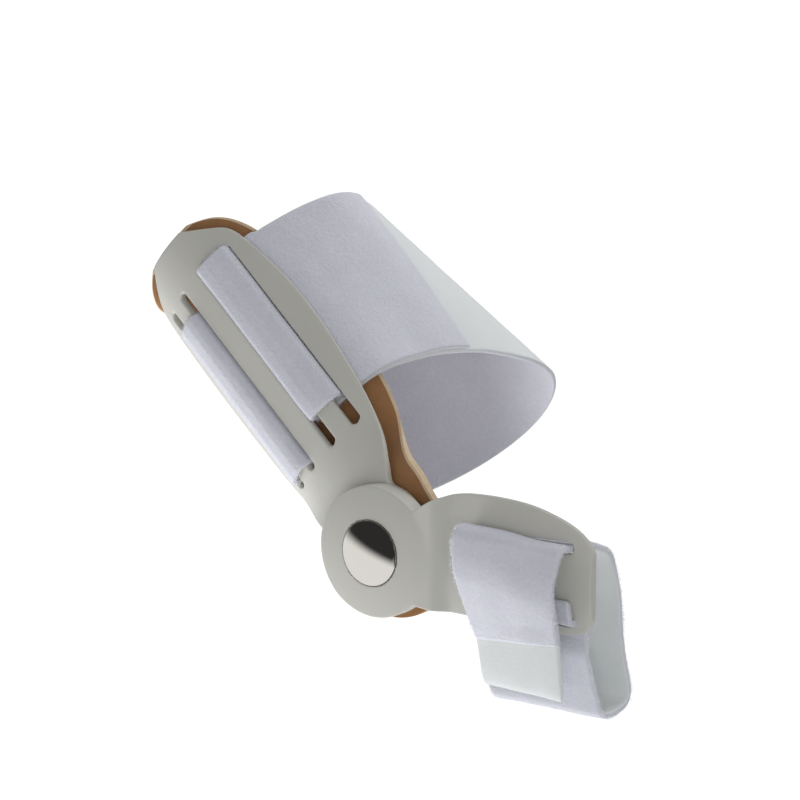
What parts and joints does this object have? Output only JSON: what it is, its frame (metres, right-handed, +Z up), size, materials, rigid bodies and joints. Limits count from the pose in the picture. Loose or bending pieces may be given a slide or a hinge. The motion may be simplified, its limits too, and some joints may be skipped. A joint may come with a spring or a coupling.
{
  "type": "bunion corrector",
  "caption": "Bunion corrector: slotted midfoot plate with pad and wide strap, riveted hinge to a toe plate with a looped toe strap, in its worn form.",
  "frame": {"origin": "on the hinge pin's axis, at the skin face of the pad, where the corrector lies on the side of the foot at the big toe's joint", "axes": "+X towards the toe, +Y into the foot (away from the outer side), +Z up as in the picture"},
  "size_m": [0.1627, 0.1281, 0.1352],
  "materials": {
    "plate_plastic": "satin moulded plastic, light warm grey",
    "pad_suede": "tan brushed face on cream foam",
    "strap_cloth": "white brushed loop cloth",
    "rivet_metal": "polished domed cap"
  },
  "bodies": {
    "midfoot": {"midfoot_plate": "plate_plastic", "midfoot_pad": "pad_suede", "midfoot_strap": "strap_cloth", "hinge_rivet": "rivet_metal"},
    "toe": {"toe_plate": "plate_plastic", "toe_strap": "strap_cloth"}
  },
  "joints": [
    {"name": "toe_hinge", "type": "hinge", "parent": "midfoot", "child": "toe", "pos_m": [0, 0, 0], "axis": [0, -1, 0], "range_deg": [-50, 20]}
  ]
}
